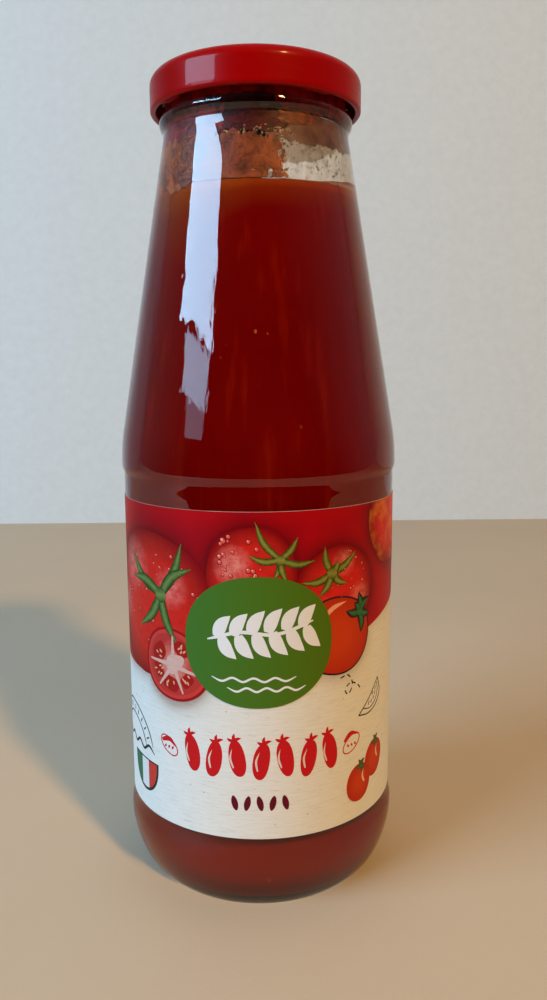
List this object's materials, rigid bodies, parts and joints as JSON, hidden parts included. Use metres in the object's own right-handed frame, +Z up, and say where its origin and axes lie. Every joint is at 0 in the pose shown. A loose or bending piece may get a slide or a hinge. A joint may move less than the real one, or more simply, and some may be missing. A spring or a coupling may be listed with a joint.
{
  "type": "passata bottle",
  "caption": "Tall clear glass bottle of tomato passata with a red twist-off metal cap and a paper label wrapped round its recessed lower body.",
  "frame": {"origin": "centre of the foot ring, on the surface that the bottle stands on", "axes": "+Z up along the bottle's axis; -Y is the label's front and +Y the open strip between the label's ends"},
  "size_m": [0.0774, 0.0774, 0.2183],
  "materials": {
    "glass": "clear flint glass, glossy",
    "passata": "wet, thick and smooth",
    "paper": "uncoated paper with printed fields of colour",
    "lacquer": "gloss red lacquer on tinplate"
  },
  "bodies": {
    "root": {"bottle": "glass", "passata": "passata", "label": "paper", "cap": "lacquer"}
  },
  "joints": []
}
